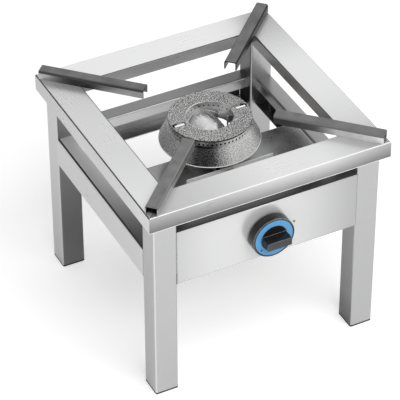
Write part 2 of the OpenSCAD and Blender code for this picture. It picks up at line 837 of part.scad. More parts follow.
module supply_pipe_nuts() {
    color("goldenrod") placed() translate([0, 0, supply_z]) {
        translate([inlet_boss_x, boss_y, 0]) rotate([0, 90, 0]) difference() {
            cylinder(h = supply_nut_h, r = supply_nut_r, $fn = 6);
            translate([0, 0, -over]) cylinder(h = supply_nut_h + 2 * over, r = supply_r + run_clear);
        }
        translate([supply_x, 0, 0]) difference() {
            along_y(inlet_tail_y - supply_nut_h, supply_nut_h, supply_nut_r, 6);
            along_y(inlet_tail_y - supply_nut_h - over, supply_nut_h + 2 * over, supply_r + run_clear);
        }
    }
}

module inlet_connector() {
    color("goldenrod") placed() translate([supply_x, 0, supply_z]) difference() {
        union() {
            along_y(inlet_tail_y, inlet_back_y - inlet_tail_y, inlet_r);
            along_y(face_y, inlet_hex_h, inlet_hex_r, 6);
        }
        along_y(inlet_tail_y + over, inlet_back_y - inlet_tail_y, supply_r);
    }
}

module inlet_locknut() {
    color("darkgoldenrod") placed() translate([supply_x, 0, supply_z]) difference() {
        along_y(face_y - sheet_t - locknut_h, locknut_h, locknut_r, 6);
        along_y(face_y - sheet_t - locknut_h - over, locknut_h + 2 * over, inlet_r + run_clear);
    }
}

module thermocouple() {
    color("silver") placed() translate([probe_x, probe_y, probe_top - probe_len]) {
        cylinder(h = probe_len - probe_r, r = probe_r, $fn = small_fn);
        translate([0, 0, probe_len - probe_r]) sphere(r = probe_r, $fn = small_fn);
    }
}

module thermocouple_nut() {
    color("goldenrod") placed() translate([probe_x, probe_y, plate_z + tab_rise]) difference() {
        cylinder(h = probe_nut_h, r = probe_nut_r, $fn = 6);
        translate([0, 0, -over]) cylinder(h = probe_nut_h + 2 * over, r = probe_r + run_clear, $fn = small_fn);
    }
}

// Bracket of folded strip: foot on the plate, upright, and a tab that holds the probe
module thermocouple_bracket() {
    color("silver") placed() difference() {
        union() {
            translate([tab_out_x, probe_y - tab_half_w, plate_z])
                cube([tab_foot_x - tab_out_x, 2 * tab_half_w, sheet_t]);
            translate([tab_out_x, probe_y - tab_half_w, plate_z]) cube([sheet_t, 2 * tab_half_w, tab_rise]);
            translate([tab_in_x, probe_y - tab_half_w, plate_z + tab_rise - sheet_t])
                cube([tab_out_x + sheet_t - tab_in_x, 2 * tab_half_w, sheet_t]);
        }
        translate([probe_x, probe_y, plate_z + tab_rise - sheet_t - over])
            cylinder(h = sheet_t + 2 * over, r = probe_r + run_clear, $fn = small_fn);
        translate([tab_screw_x, probe_y, plate_z - over])
            cylinder(h = sheet_t + 2 * over, r = screw_r + bolt_clear, $fn = small_fn);
    }
}

// Thin lead from the probe's foot down through the plate, then forward to the valve's magnet
module thermocouple_lead() {
    color("peru") placed() translate([probe_x, probe_y, probe_top - probe_len]) rotate([-90, 0, 0])
        run(probe_top - probe_len - supply_z - lead_turn_r, lead_r) rotate([0, 90, 0])
            bend(lead_turn_r, lead_r)
                run(probe_y - 3 * lead_turn_r - lead_stub - magnet_back_y, lead_r) rotate([0, 90, 0])
                    bend(lead_turn_r, lead_r) run(probe_x - 2 * lead_turn_r, lead_r) mirror([1, 0, 0])
                        bend(lead_turn_r, lead_r) run(lead_stub, lead_r);
}

top_rail_front();
top_rail_rear();
top_rail_left();
top_rail_right();
leg_front_left();
leg_front_right();
leg_rear_left();
leg_rear_right();
foot_front_left();
foot_front_right();
foot_rear_left();
foot_rear_right();
pot_bar_front_left();
pot_bar_front_right();
pot_bar_rear_left();
pot_bar_rear_right();
front_panel();
left_panel();
right_panel();
rear_panel();
burner_plate();
plate_bolts();
burner_body();
burner_bolts();
burner_crown();
crown_lift_bars();
injector_bracket();
bracket_screws();
injector();
injector_holder();
air_shutter();
valve_body();
valve_plug();
valve_screws();
valve_spindle();
index_rivet();
control_knob();
knob_dial_ring();
feed_pipe();
feed_pipe_nuts();
supply_pipe();
supply_pipe_nuts();
inlet_connector();
inlet_locknut();
thermocouple();
thermocouple_nut();
thermocouple_bracket();
thermocouple_lead();
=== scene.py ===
import math

import bmesh
import bpy
from mathutils import Matrix, Vector


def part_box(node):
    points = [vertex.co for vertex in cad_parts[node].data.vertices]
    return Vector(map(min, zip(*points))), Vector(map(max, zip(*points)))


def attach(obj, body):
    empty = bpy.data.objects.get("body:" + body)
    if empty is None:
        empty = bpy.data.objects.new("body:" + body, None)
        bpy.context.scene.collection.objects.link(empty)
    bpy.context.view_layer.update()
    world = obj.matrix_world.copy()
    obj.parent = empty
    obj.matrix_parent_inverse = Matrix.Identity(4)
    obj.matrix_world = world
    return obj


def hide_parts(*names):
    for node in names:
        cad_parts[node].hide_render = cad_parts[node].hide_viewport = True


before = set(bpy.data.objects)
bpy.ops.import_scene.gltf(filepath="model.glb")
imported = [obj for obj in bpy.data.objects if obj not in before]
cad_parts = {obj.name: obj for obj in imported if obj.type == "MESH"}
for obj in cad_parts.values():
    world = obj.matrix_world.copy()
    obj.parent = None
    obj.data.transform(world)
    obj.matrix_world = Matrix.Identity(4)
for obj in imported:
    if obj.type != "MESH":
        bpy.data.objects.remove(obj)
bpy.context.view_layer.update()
scene = bpy.context.scene
MM = 0.001
LOW, HIGH = 0, 1

# The camera of the photograph, found from the corners of the frame, legs and panels
VIEW_AZIMUTH = math.radians(-26.93)
VIEW_ELEVATION = math.radians(38.48)
VIEW_ROLL = math.radians(-0.179)
VIEW_DISTANCE = 3821.4 * MM
VIEW_LENS = 216.55
VIEW_SENSOR = 36.0
VIEW_REACH = 50
VIEW_TARGET = Vector((13.8, 61.0, 128.3)) * MM

# Studio: side that the metals see bright, where its light starts and ends to fall, and its levels
BRIGHT_SIDE = Vector((0.75, 0.25, 0.61)).normalized()
FALL_START = -0.3
FALL_END = 0.8
DIM_LEVEL = 0.34
BRIGHT_LEVEL = 1.3
FILL_LEVEL = 0.58
FLOOR_HALF = 8.0
FLOOR_TONE = 0.82
FLOOR_LIFT = 0.445
KEY_PLACE = Vector((0.25, -2.0, 3.0))
KEY_TARGET = Vector((0, 0, 0.1))
KEY_SIZE = 3.0
KEY_POWER = 80

# Middle of the square frame, from which the camera and the burner are placed
stove_y = (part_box("top_rail_front")[LOW].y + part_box("top_rail_rear")[HIGH].y) / 2
top_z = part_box("top_rail_front")[HIGH].z

# Folded sheet as built: its thickness, the rails' skirt, and how near a face the look of that face reaches
SHEET = 1.5 * MM
SKIRT_H = 28 * MM
FACE_REACH = 1.15 * MM
INSIDE_REACH = 0.75 * MM
RIDGE_REACH = 1.9 * MM
FADE = 0.2 * MM

# Pot bars as built: half the width of the hollow inside, the crest, and X plus Y at the outer end
BAR_HOLLOW = 8.4 * MM
BAR_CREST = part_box("pot_bar_front_left")[HIGH].z
BAR_END_SUM = 2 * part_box("pot_bar_front_right")[HIGH].x - 22 * MM

# The burner's levels and rows of ports, as built
CROWN_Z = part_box("burner_crown")[HIGH].z
CROWN_R = (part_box("burner_crown")[HIGH].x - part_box("burner_crown")[LOW].x) / 2
BODY_Z = CROWN_Z - 14 * MM
HOLE_R = 36 * MM
FLARE_R = 78.5 * MM
PORT_R = 1.2 * MM
OUTER_PORTS = 60
INNER_PORTS = 30
OUTER_PORT_Z = BODY_Z + 5 * MM
INNER_PORT_Z = BODY_Z + 7 * MM
OUTSIDE_R = 1.5 * HOLE_R
LIP_Z = CROWN_Z - 2.8 * MM
GRIT_DEPTH = 0.6 * MM

# Sides of the burner's skirt where light and shade are painted, as degrees from +X, and how far to each side they fade
# out and hold full
LIT_SIDE = (-72, 40, 16)
DIM_SIDE = (-127, 22, 8)
SOFT_SIDE = (175, 52, 30)

# Brushed grain, in waves per metre across and along it, and how much its tone, coolness and gloss drift
FINE_GRAIN = (3400.0, 90.0)
COARSE_GRAIN = (1700.0, 50.0)
COOL_TINT = (0.998, 1.0, 1.002)
TONE_DRIFT = 0.015
GLOSS_DRIFT = 0.015

# Tones of small marks, from black at 0 to white at 1
WHITE = 1.0
# Painted shade: in the flame ports, beside the left panel's face, under the crown's lip, under the bars and in folds
PORT_SHADE_TONE = 0.01
SHADOW_LINE_TONE = 0.05
LIP_SHADE_TONE = 0.05
UNDER_BAR_SHADE_TONE = 0.1
FOLD_SHADE_TONE = 0.12
MITRE_TONE = 0.16
HEM_TONE = 0.42
# Painted highlights: on the flare's front edge, the lit side of the burner's band and the plate's front fold
FLARE_HIGHLIGHT_TONE = 0.95
BAND_HIGHLIGHT_TONE = 0.97
PLATE_FOLD_HIGHLIGHT_TONE = 0.97

# Skins: how near vertices are welded, and the angles of flat faces, of rounded edges and of sharp shading
WELD = 0.005 * MM
FLAT_ANGLE = math.radians(0.5)
EDGE_ANGLE = math.radians(40)
SHARP_ANGLE = math.radians(30)


def make_camera():
    """The photograph's viewpoint, with no shift."""
    target = VIEW_TARGET + Vector((0, stove_y, 0))
    level = math.cos(VIEW_ELEVATION)
    back = Vector((math.sin(VIEW_AZIMUTH) * level, -math.cos(VIEW_AZIMUTH) * level, math.sin(VIEW_ELEVATION)))
    right = (-back).cross(Vector((0, 0, 1))).normalized()
    up = right.cross(-back)
    turned_right = right * math.cos(VIEW_ROLL) + up * math.sin(VIEW_ROLL)
    turned_up = up * math.cos(VIEW_ROLL) - right * math.sin(VIEW_ROLL)
    data = bpy.data.cameras.new("camera")
    data.lens = VIEW_LENS
    data.sensor_width = VIEW_SENSOR
    data.clip_end = VIEW_REACH
    camera = bpy.data.objects.new("camera", data)
    place = Matrix((turned_right, turned_up, back)).transposed().to_4x4()
    place.translation = target + back * VIEW_DISTANCE
    camera.matrix_world = place
    scene.collection.objects.link(camera)
    scene.camera = camera


def opaque(colour):
    """A full colour from a grey tone, or from red, green and blue."""
    return (colour,) * 3 + (1,) if isinstance(colour, (int, float)) else (*colour, 1)


class Wiring:
    """Short ways to add the nodes of one tree and to join them."""

    def __init__(self, tree):
        self.nodes = tree.nodes
        self.links = tree.links

    def put(self, socket, value):
        """Joins a socket to another one, or sets it to a plain value."""
        if isinstance(value, bpy.types.NodeSocket):
            self.links.new(value, socket)
        else:
            socket.default_value = value

    def math_of(self, operation, *values):
        """A maths node on sockets and numbers."""
        node = self.nodes.new("ShaderNodeMath")
        node.operation = operation
        for socket, value in zip(node.inputs, values):
            self.put(socket, value)
        return node.outputs["Value"]

    def above(self, value, limit):
        return self.math_of("GREATER_THAN", value, limit)

    def below(self, value, limit):
        return self.math_of("LESS_THAN", value, limit)

    def both(self, first, second):
        """One where both are one, by their product."""
        return self.math_of("MULTIPLY", first, second)

    def ranged(self, value, low, high, start=0.3, end=0.7):
        """Maps start to end onto low to high; as given, start and end are the middle of a noise."""
        node = self.nodes.new("ShaderNodeMapRange")
        node.inputs["From Min"].default_value = start
        node.inputs["From Max"].default_value = end
        node.inputs["To Min"].default_value = low
        node.inputs["To Max"].default_value = high
        self.put(node.inputs["Value"], value)
        return node.outputs["Result"]


class Finish(Wiring):
    """A material in the making, with its main shader and ways to paint by the object's own coordinates."""

    def __init__(self, name):
        self.material = bpy.data.materials.new(name)
        self.material.use_nodes = True
        super().__init__(self.material.node_tree)
        self.shader = self.nodes["Principled BSDF"]
        self.own_axes = {}

    def look(self, name, value):
        """Gives one of the shader's own sockets a value, or joins it."""
        self.put(self.shader.inputs[name], value)

    def axis(self, name):
        """The object's own x, its y from the middle of the stove, or its z; all three are made at the first call."""
        if not self.own_axes:
            place = self.nodes.new("ShaderNodeTexCoord")
            apart = self.nodes.new("ShaderNodeSeparateXYZ")
            self.put(apart.inputs["Vector"], place.outputs["Object"])
            self.own_axes = {
                "x": apart.outputs["X"],
                "y": self.math_of("SUBTRACT", apart.outputs["Y"], stove_y),
                "z": apart.outputs["Z"],
            }
        return self.own_axes[name]

    def noise(self, scale, detail=3.0, roughness=0.55):
        """Noise on the object's own coordinates, by one scale per metre or by one for each axis."""
        place = self.nodes.new("ShaderNodeTexCoord")
        stretch = self.nodes.new("ShaderNodeMapping")
        stretch.inputs["Scale"].default_value = scale if isinstance(scale, list) else (scale,) * 3
        self.put(stretch.inputs["Vector"], place.outputs["Object"])
        grain = self.nodes.new("ShaderNodeTexNoise")
        grain.inputs["Scale"].default_value = 1.0
        grain.inputs["Detail"].default_value = detail
        grain.inputs["Roughness"].default_value = roughness
        self.put(grain.inputs["Vector"], stretch.outputs["Vector"])
        return grain.outputs["Fac"]

    def mixed(self, factor, first, second, blend="MIX"):
        """The first colour at none, the second at one; either may be a plain tone, a colour or a socket."""
        node = self.nodes.new("ShaderNodeMix")
        node.data_type = "RGBA"
        node.blend_type = blend
        self.put(node.inputs["Factor"], factor)
        for name, colour in (("A", first), ("B", second)):
            plain = not isinstance(colour, bpy.types.NodeSocket)
            self.put(node.inputs[name], opaque(colour) if plain else colour)
        return node.outputs["Result"]

    def times(self, colour, tone):
        """A colour multiplied by a tone."""
        return self.mixed(1.0, colour, tone, "MULTIPLY")

    def clouded(self, noise, dark, light):
        """A colour that drifts from dark to light with a noise."""
        return self.mixed(self.ranged(noise, 0, 1), dark, light)

    def times_along(self, colour, way, steps):
        """A colour multiplied along an axis, by pairs of a place in mm and a share."""
        steps = [(place * MM, share) for place, share in steps]
        start, end = steps[0][0], steps[-1][0]
        ramp = self.nodes.new("ShaderNodeValToRGB")
        line = ramp.color_ramp
        line.interpolation = "B_SPLINE" if len(steps) > 3 else "EASE"
        while len(line.elements) < len(steps):
            line.elements.new(0.5)
        for element, (place, share) in zip(line.elements, steps):
            element.position = (place - start) / (end - start)
            element.color = opaque(share)
        self.put(ramp.inputs["Fac"], self.ranged(self.axis(way), 0, 1, start, end))
        return self.times(colour, ramp.outputs["Color"])

    def near_face(self, face, reach=FACE_REACH):
        """One within reach of a face, given as its axis and its place there, and none elsewhere."""
        axis, place = face
        middle = stove_y if axis == "y" else 0.0
        away = self.math_of("ABSOLUTE", self.math_of("SUBTRACT", self.axis(axis), place - middle))
        return self.ranged(away, 1, 0, reach - FADE, reach)

    def near_fold(self, faces, reach):
        """One along the fold between two faces."""
        return self.both(*[self.near_face(face, reach) for face in faces])

    def off_diagonal(self):
        """How far X is from Y in size, which is none on the diagonals."""
        wide, deep = [self.math_of("ABSOLUTE", self.axis(name)) for name in "xy"]
        return self.math_of("ABSOLUTE", self.math_of("SUBTRACT", wide, deep))

    def bumped(self, height, depth, strength=1.0):
        """Relief of a depth in metres, at full strength or less."""
        node = self.nodes.new("ShaderNodeBump")
        node.inputs["Strength"].default_value = strength
        node.inputs["Distance"].default_value = depth
        self.put(node.inputs["Height"], height)
        self.look("Normal", node.outputs["Normal"])


def face_of(node, axis, side):
    """The axis and place of a piece's outermost face, low or high."""
    return axis, getattr(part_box(node)[side], axis)


TOP_FACE = ("z", top_z)


def stretched(along, across, lengthwise):
    """Noise scales for a grain along one axis."""
    return [lengthwise if axis == along else across for axis in "XYZ"]


def rail_marks(coat, bright, tone, skirt):
    """A rail's flat top with its dark mitre joints and painted shade under the bars, and its skirt painted in two
    tones as shade down its height.
    """
    x, y, z = [coat.axis(name) for name in "xyz"]
    # Painted shade on the skirt, from its upper tone at the top to its lower tone at the bottom
    drop = coat.ranged(z, 1, 0, top_z - SKIRT_H, top_z)
    skirt_shade = coat.times(coat.mixed(drop, *skirt), coat.mixed(tone, 0.94, 1.0))
    bright = coat.mixed(coat.below(z, top_z - 0.3 * MM), bright, skirt_shade)
    off = coat.off_diagonal()
    mitre = coat.ranged(off, 1, 0, 0.2 * MM, 0.65 * MM)
    bright = coat.mixed(coat.both(mitre, coat.above(z, top_z - 1 * MM)), bright, MITRE_TONE)
    # Painted shade on the rail's top under the bars
    within = coat.below(off, BAR_HOLLOW * math.sqrt(2))
    out = coat.math_of("ADD", coat.math_of("ABSOLUTE", x), coat.math_of("ABSOLUTE", y))
    return coat.mixed(coat.both(within, coat.below(out, BAR_END_SUM)), bright, UNDER_BAR_SHADE_TONE)


def dull_shaded_side(coat, clouds, level, inner, outer_face, shadow_reach):
    """The dull inner side of a sheet, also painted shade, with painted light and shade on some faces and a painted
    shadow line by the outer face.
    """
    dull_shaded = coat.mixed(clouds, level * 0.85, level * 1.15)
    for inner_face, way, steps in inner:
        dull_shaded = coat.mixed(coat.near_face(inner_face, INSIDE_REACH), dull_shaded, coat.times_along(WHITE, way, steps))
    # Painted shadow line beside the outer face
    if shadow_reach:
        dull_shaded = coat.mixed(coat.near_face(outer_face, shadow_reach), dull_shaded, SHADOW_LINE_TONE)
    return dull_shaded


def brushed_sheet(name, along, level=0.74, outer=(), inner_level=0.34, rough=0.3, skirt=None, bend=None, hem=None,
                  inner=(), run=None, metallic=1.0, shadow_reach=0.0, ridge=(), fold_shade=None, lower_edge_highlight=False):
    """Stainless sheet with fine lines along one axis, faint streaks and clouds.

    outer: polished faces, with a dull side elsewhere whose level also holds painted shade; inner: painted light and
    shade along dull faces; skirt: upper and lower tones of a rail's skirt, painted shade down its height;
    bend: tone and reach of the top fold, a painted highlight where light and painted shade where dark; hem: height of
    a dark lower edge; run: painted light and shade along the sheet; shadow_reach: reach of a painted shadow line
    beside the outer face; ridge: faces with a painted white highlight along the fold between; fold_shade: face and
    reach of painted shade along the fold at the top; lower_edge_highlight: a painted white highlight along the skirt's
    lower edge.
    """
    coat = Finish(name)
    lines = coat.noise(stretched(along, *FINE_GRAIN), 2.0)
    streaks = coat.noise(stretched(along, *COARSE_GRAIN), 3.0)
    clouds = coat.noise(7.0, 4.0)
    tone = coat.math_of("ADD", coat.ranged(lines, -0.3, 0.3), coat.ranged(streaks, 0.4, 0.6))
    tone = coat.math_of("ADD", tone, coat.ranged(clouds, -0.15, 0.15))
    cool = [level * share for share in COOL_TINT]
    bright = coat.mixed(tone, *[[c * share for c in cool] for share in (1 - TONE_DRIFT, 1 + TONE_DRIFT)])
    z = coat.axis("z")
    if skirt:
        # Painted shade on a rail's skirt and on its top under the bars
        bright = rail_marks(coat, bright, tone, skirt)
    if hem:
        bright = coat.mixed(coat.ranged(z, 1, 0, hem + 0.9 * MM, hem + 1.6 * MM), bright, HEM_TONE)
    # Painted light and shade along the sheet
    if run:
        bright = coat.times_along(bright, *run)
    # Painted light along the outer top fold: a highlight where its tone is light, shade where it is dark
    if bend:
        bend_tone, reach = bend
        fold = coat.both(coat.near_face(outer[0], reach), coat.above(z, top_z - reach))
        bright = coat.mixed(fold, bright, bend_tone)
    # The dull side, whose level also holds painted shade, with painted light and shade along some faces
    if outer:
        shown = coat.near_face(outer[0])
        for other in outer[1:]:
            shown = coat.math_of("MAXIMUM", shown, coat.near_face(other))
        bright = coat.mixed(shown, dull_shaded_side(coat, clouds, inner_level, inner, outer[0], shadow_reach), bright)
    # Painted white highlight along the fold between two faces
    if ridge:
        bright = coat.mixed(coat.near_fold(ridge, RIDGE_REACH), bright, WHITE)
    # Painted shade along the fold at the top
    if fold_shade:
        crease_face, reach = fold_shade
        bright = coat.mixed(coat.near_fold((crease_face, TOP_FACE), reach), bright, FOLD_SHADE_TONE)
    coat.bumped(lines, 0.02 * MM, 0.5 if metallic == 1.0 else 0.04)
    # Painted white highlight along the skirt's lower edge, which takes plain light there
    if lower_edge_highlight:
        highlit_edge = coat.both(coat.below(z, top_z - SKIRT_H + 1.2 * MM), coat.near_face(outer[0]))
        bright = coat.mixed(highlit_edge, bright, WHITE)
        metallic = coat.math_of("MULTIPLY_ADD", highlit_edge, -metallic, metallic)
    gloss = coat.ranged(streaks, rough - GLOSS_DRIFT, rough + GLOSS_DRIFT)
    coat.look("Base Color", bright)
    coat.look("Roughness", coat.math_of("ADD", gloss, coat.ranged(clouds, -0.03, 0.03)))
    coat.look("Metallic", metallic)
    return coat.material


def plain_sheet(name, dark, light, rough, fold_y, fold_z):
    """Smooth rolled sheet with cloudy tone, and a painted highlight along its front fold."""
    coat = Finish(name)
    clouds = coat.noise(24.0, 5.0)
    # Painted highlight along the front fold
    fold = coat.both(coat.below(coat.axis("y"), fold_y - stove_y + SHEET), coat.above(coat.axis("z"), fold_z - SHEET))
    coat.look("Base Color", coat.mixed(fold, coat.clouded(clouds, dark, light), PLATE_FOLD_HIGHLIGHT_TONE))
    coat.look("Roughness", coat.ranged(clouds, *rough))
    coat.look("Metallic", 1.0)
    coat.bumped(coat.noise(1500.0, 2.0), 0.02 * MM, 0.4)
    return coat.material


def bar_steel(name, crown, side, run=None, under_top_shade=0.25, inside=0.25, metallic=1.0):
    """Thick folded steel, heat-darkened on top where the pots slide, with scale and scratches.

    crown: darkest and lightest tone on top; side: tone of the flanks, with each bar's own painted light and shade;
    run: painted light and shade of the flanks along X; under_top_shade: share of the flanks' tone that is left just
    under the top, as painted shade; inside: tone of the hollow, painted as shade; metallic: less than one on a bar
    that takes plain light instead of mirroring.
    """
    coat = Finish(name)
    z = coat.axis("z")
    clouds = coat.noise(40.0, 5.0)
    scratches = coat.noise(900.0, 3.0)
    worn = coat.clouded(clouds, *crown)
    # The flanks carry painted light and shade
    flank = coat.clouded(clouds, side * 0.88, side * 1.12)
    if run:
        flank = coat.times_along(flank, "x", run)
    # Painted shade on the flanks just under the top
    flank = coat.mixed(coat.above(z, BAR_CREST - 4.2 * MM), flank, side * under_top_shade)
    top = coat.ranged(z, 0, 1, BAR_CREST - 1.0 * MM, BAR_CREST - 0.2 * MM)
    # Painted shade in the hollow under the bar
    within = coat.below(coat.off_diagonal(), BAR_HOLLOW * math.sqrt(2))
    hollow = coat.both(within, coat.below(z, BAR_CREST - 1.7 * MM))
    coat.look("Base Color", coat.mixed(hollow, coat.mixed(top, flank, worn), inside))
    coat.look("Roughness", coat.ranged(scratches, 0.28, 0.42))
    coat.look("Metallic", metallic)
    coat.bumped(coat.math_of("ADD", scratches, clouds), 0.05 * MM, 0.5)
    return coat.material


def painted_sheet(name, level):
    """Light grey zinc-rich paint with fine orange peel and handling marks."""
    coat = Finish(name)
    clouds = coat.noise(35.0, 5.0)
    coat.look("Base Color", coat.clouded(clouds, level * 0.9, level * 1.1))
    coat.look("Roughness", coat.ranged(clouds, 0.38, 0.5))
    coat.look("Metallic", 0.25)
    coat.bumped(coat.noise(1100.0, 2.0), 0.04 * MM, 0.5)
    return coat.material


def turned_metal(name, dark, light, rough):
    """Turned or drawn metal with faint tool marks and dull patches."""
    coat = Finish(name)
    marks = coat.noise(700.0, 3.0)
    coat.look("Base Color", coat.clouded(coat.noise(60.0, 4.0), dark, light))
    coat.look("Roughness", coat.ranged(marks, *rough))
    coat.look("Metallic", 1.0)
    coat.bumped(marks, 0.03 * MM, 0.5)
    return coat.material


def moulded(name, texture=0.04 * MM):
    """The start of every moulded plastic: a fine spark-eroded texture, and patches to paint by."""
    coat = Finish(name)
    coat.bumped(coat.noise(2400.0, 2.0), texture, 0.7)
    return coat, coat.noise(70.0, 3.0)


def moulded_plastic(name, dark, light, rough, texture=0.04 * MM):
    """Moulded plastic with slight changes of tone and gloss."""
    coat, patches = moulded(name, texture)
    coat.look("Base Color", coat.clouded(patches, dark, light))
    coat.look("Roughness", coat.ranged(patches, *rough))
    return coat.material


def knob_plastic(name):
    """Black moulded plastic, glossier on the skirt and duller on the front of the grip, where a lighter grey is
    painted as light.
    """
    coat, patches = moulded(name)
    grip_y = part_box("control_knob")[LOW].y - stove_y
    # Painted light: the duller front of the grip is a lighter grey
    lit_front = coat.ranged(coat.axis("y"), 1, 0, grip_y + 0.1 * MM, grip_y + 0.7 * MM)
    black = coat.clouded(patches, (0.008, 0.008, 0.009), (0.015, 0.015, 0.016))
    matt_and_lit = coat.clouded(patches, (0.055, 0.055, 0.057), (0.085, 0.085, 0.088))
    coat.look("Base Color", coat.mixed(lit_front, black, matt_and_lit))
    coat.look("Roughness", coat.math_of("MULTIPLY_ADD", lit_front, 0.2, 0.24))
    coat.look("Specular IOR Level", 0.35)
    return coat.material


def port_row(coat, count, radius, height, turned, spread):
    """One inside the mouths of a row of flame ports, where shade is painted, as wide as spread times a port's radius.
    """
    x, y, z = [coat.axis(name) for name in "xyz"]
    cells = coat.math_of("MULTIPLY_ADD", coat.math_of("ARCTAN2", y, x), count / (2 * math.pi), turned)
    off = coat.math_of("SUBTRACT", coat.math_of("FRACT", cells), 0.5)
    across = coat.math_of("MULTIPLY", off, radius * 2 * math.pi / count)
    rise = coat.math_of("SUBTRACT", z, height)
    square = coat.math_of("MULTIPLY_ADD", rise, rise, coat.math_of("MULTIPLY", across, across))
    return coat.ranged(coat.math_of("SQRT", square), 1, 0, spread * PORT_R, (spread + 0.5) * PORT_R)


def facing(coat, radius, side):
    """One where the burner faces a side, fading to none."""
    bearing, none, full = [math.radians(angle) for angle in side]
    along_y = coat.math_of("MULTIPLY", coat.axis("y"), math.sin(bearing))
    along = coat.math_of("MULTIPLY_ADD", coat.axis("x"), math.cos(bearing), along_y)
    return coat.ranged(coat.math_of("DIVIDE", along, radius), 0, 1, math.cos(none), math.cos(full))


def cast_metal(name):
    """Sand-cast iron in silver heat paint, with glittering grit, smooth turned bands and flame ports painted dark as
    shade.

    The grit lies on the crown's top and on the body's skirt, where each side of it has its own painted light and
    shade.
    The turned band has a painted highlight on its lit side and painted shade under the crown's lip,
    and the flare has a painted highlight on its front edge.
    """
    coat = Finish(name)
    x, y, z = [coat.axis(name) for name in "xyz"]
    square = coat.math_of("MULTIPLY_ADD", x, x, coat.math_of("MULTIPLY", y, y))
    radius = coat.math_of("SQRT", square)
    grains = coat.noise(930.0, 1.0, 0.6)
    smooth = coat.noise(90.0, 3.0)

    outside = coat.above(radius, OUTSIDE_R)
    rough_top = coat.both(coat.above(z, CROWN_Z - 0.8 * MM), coat.above(radius, HOLE_R + 1.2 * MM))
    rough_skirt = coat.both(coat.below(z, BODY_Z + 2.6 * MM), outside)
    sandy = coat.math_of("MAXIMUM", rough_top, rough_skirt)

    lit = facing(coat, radius, LIT_SIDE)
    grit = coat.mixed(coat.ranged(grains, 0, 1, 0.455, 0.575), 0.01, (0.76, 0.76, 0.755))
    # Painted light and shade on the skirt's grit: bright on the lit side, black on the dim side, softer on the third
    # side
    lit_grit = coat.mixed(coat.ranged(grains, 0, 1, 0.38, 0.6), 0.36, (1.0, 1.0, 0.995))
    black = coat.mixed(coat.ranged(grains, 0, 1, 0.45, 0.63), 0.02, 0.32)
    soft = coat.mixed(coat.ranged(grains, 0, 1, 0.38, 0.6), 0.2, 0.95)
    for side, look in ((lit, lit_grit), (facing(coat, radius, DIM_SIDE), black), (facing(coat, radius, SOFT_SIDE), soft)):
        grit = coat.mixed(coat.both(side, rough_skirt), grit, look)

    turned = coat.clouded(smooth, 0.55, 0.74)
    # Painted highlight on the turned band's lit side
    band = coat.both(lit, coat.both(outside, coat.below(z, LIP_Z)))
    turned = coat.mixed(band, turned, BAND_HIGHLIGHT_TONE)
    # Painted shade under the crown's lip
    turned = coat.mixed(coat.both(outside, coat.above(z, LIP_Z)), turned, LIP_SHADE_TONE)
    tone = coat.mixed(sandy, turned, grit)
    # Painted highlight on the flare's front edge
    edge = coat.both(coat.above(radius, FLARE_R - 0.7 * MM), coat.below(radius, FLARE_R + 0.5 * MM))
    edge = coat.both(edge, coat.below(y, 0.0))
    tone = coat.mixed(edge, tone, FLARE_HIGHLIGHT_TONE)

    # Painted shade in the mouths of both rows of flame ports
    port_shade = coat.both(port_row(coat, OUTER_PORTS, CROWN_R, OUTER_PORT_Z, 0.5, 1.2), outside)
    inner_port_shade = port_row(coat, INNER_PORTS, HOLE_R, INNER_PORT_Z, 0.0, 0.8)
    inner_port_shade = coat.both(inner_port_shade, coat.below(radius, HOLE_R + 5 * MM))
    port_shaded = coat.math_of("MAXIMUM", port_shade, inner_port_shade)
    coat.look("Base Color", coat.mixed(port_shaded, tone, PORT_SHADE_TONE))

    gloss = coat.math_of("MULTIPLY_ADD", sandy, 0.18, 0.2)
    coat.look("Roughness", coat.math_of("MULTIPLY_ADD", smooth, 0.08, gloss))
    coat.look("Metallic", coat.math_of("MULTIPLY_ADD", coat.math_of("MAXIMUM", band, edge), -0.7, 1.0))
    coat.bumped(coat.math_of("MULTIPLY", grains, coat.math_of("MULTIPLY_ADD", sandy, 0.97, 0.03)), GRIT_DEPTH)
    return coat.material


# Painted light and shade along a sheet, as the studio lights it: places in mm from the middle of the stove or from the
# floor, and shares
FRONT_RUN = [(-200, 0.60), (-60, 0.84), (60, 1.14), (130, 0.88), (200, 0.60)]
REAR_RUN = [(-200, 1.0), (60, 1.0), (125, 1.0), (160, 0.55)]
LEFT_RUN = [(-200, 1.16), (0, 1.02), (200, 0.92)]
RIGHT_RUN = [(-200, 0.42), (-130, 0.86), (0, 1.06), (90, 0.95), (200, 0.42)]
PANEL_RUN = [(-150, 0.78), (-100, 0.98), (0, 1.0), (60, 0.97), (150, 0.55)]
REAR_LIP = [(-150, 0.85), (-60, 0.95), (60, 0.75), (150, 0.6)]
REAR_LEDGE = [(-150, 0.24), (0, 0.24), (150, 0.14)]
REAR_INSIDE = [(-150, 0.9), (0, 0.9), (60, 0.5), (150, 0.1)]
LEFT_LEDGE = [(-150, 0.03), (-90, 0.12), (-20, 0.5), (60, 1.0), (150, 1.0)]
LEG_SIDE = [(0, 0.2), (60, 0.3), (200, 0.9), (320, 0.9)]
BAR_SHADED_END = [(-192, 1.3), (-172, 0.1), (-142, 0.1), (-124, 1.1)]
BAR_LIT_END = [(60, 0.08), (110, 0.08), (134, 1.0), (190, 1.0)]

RAIL_METALLIC = 0.6
BAR_TOP = (0.12, 0.19)
PLATE_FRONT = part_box("burner_plate")[LOW].y
PLATE_TOP = 258 * MM
REAR_PANEL_INSIDE = ("y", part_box("rear_panel")[HIGH].y - SHEET)
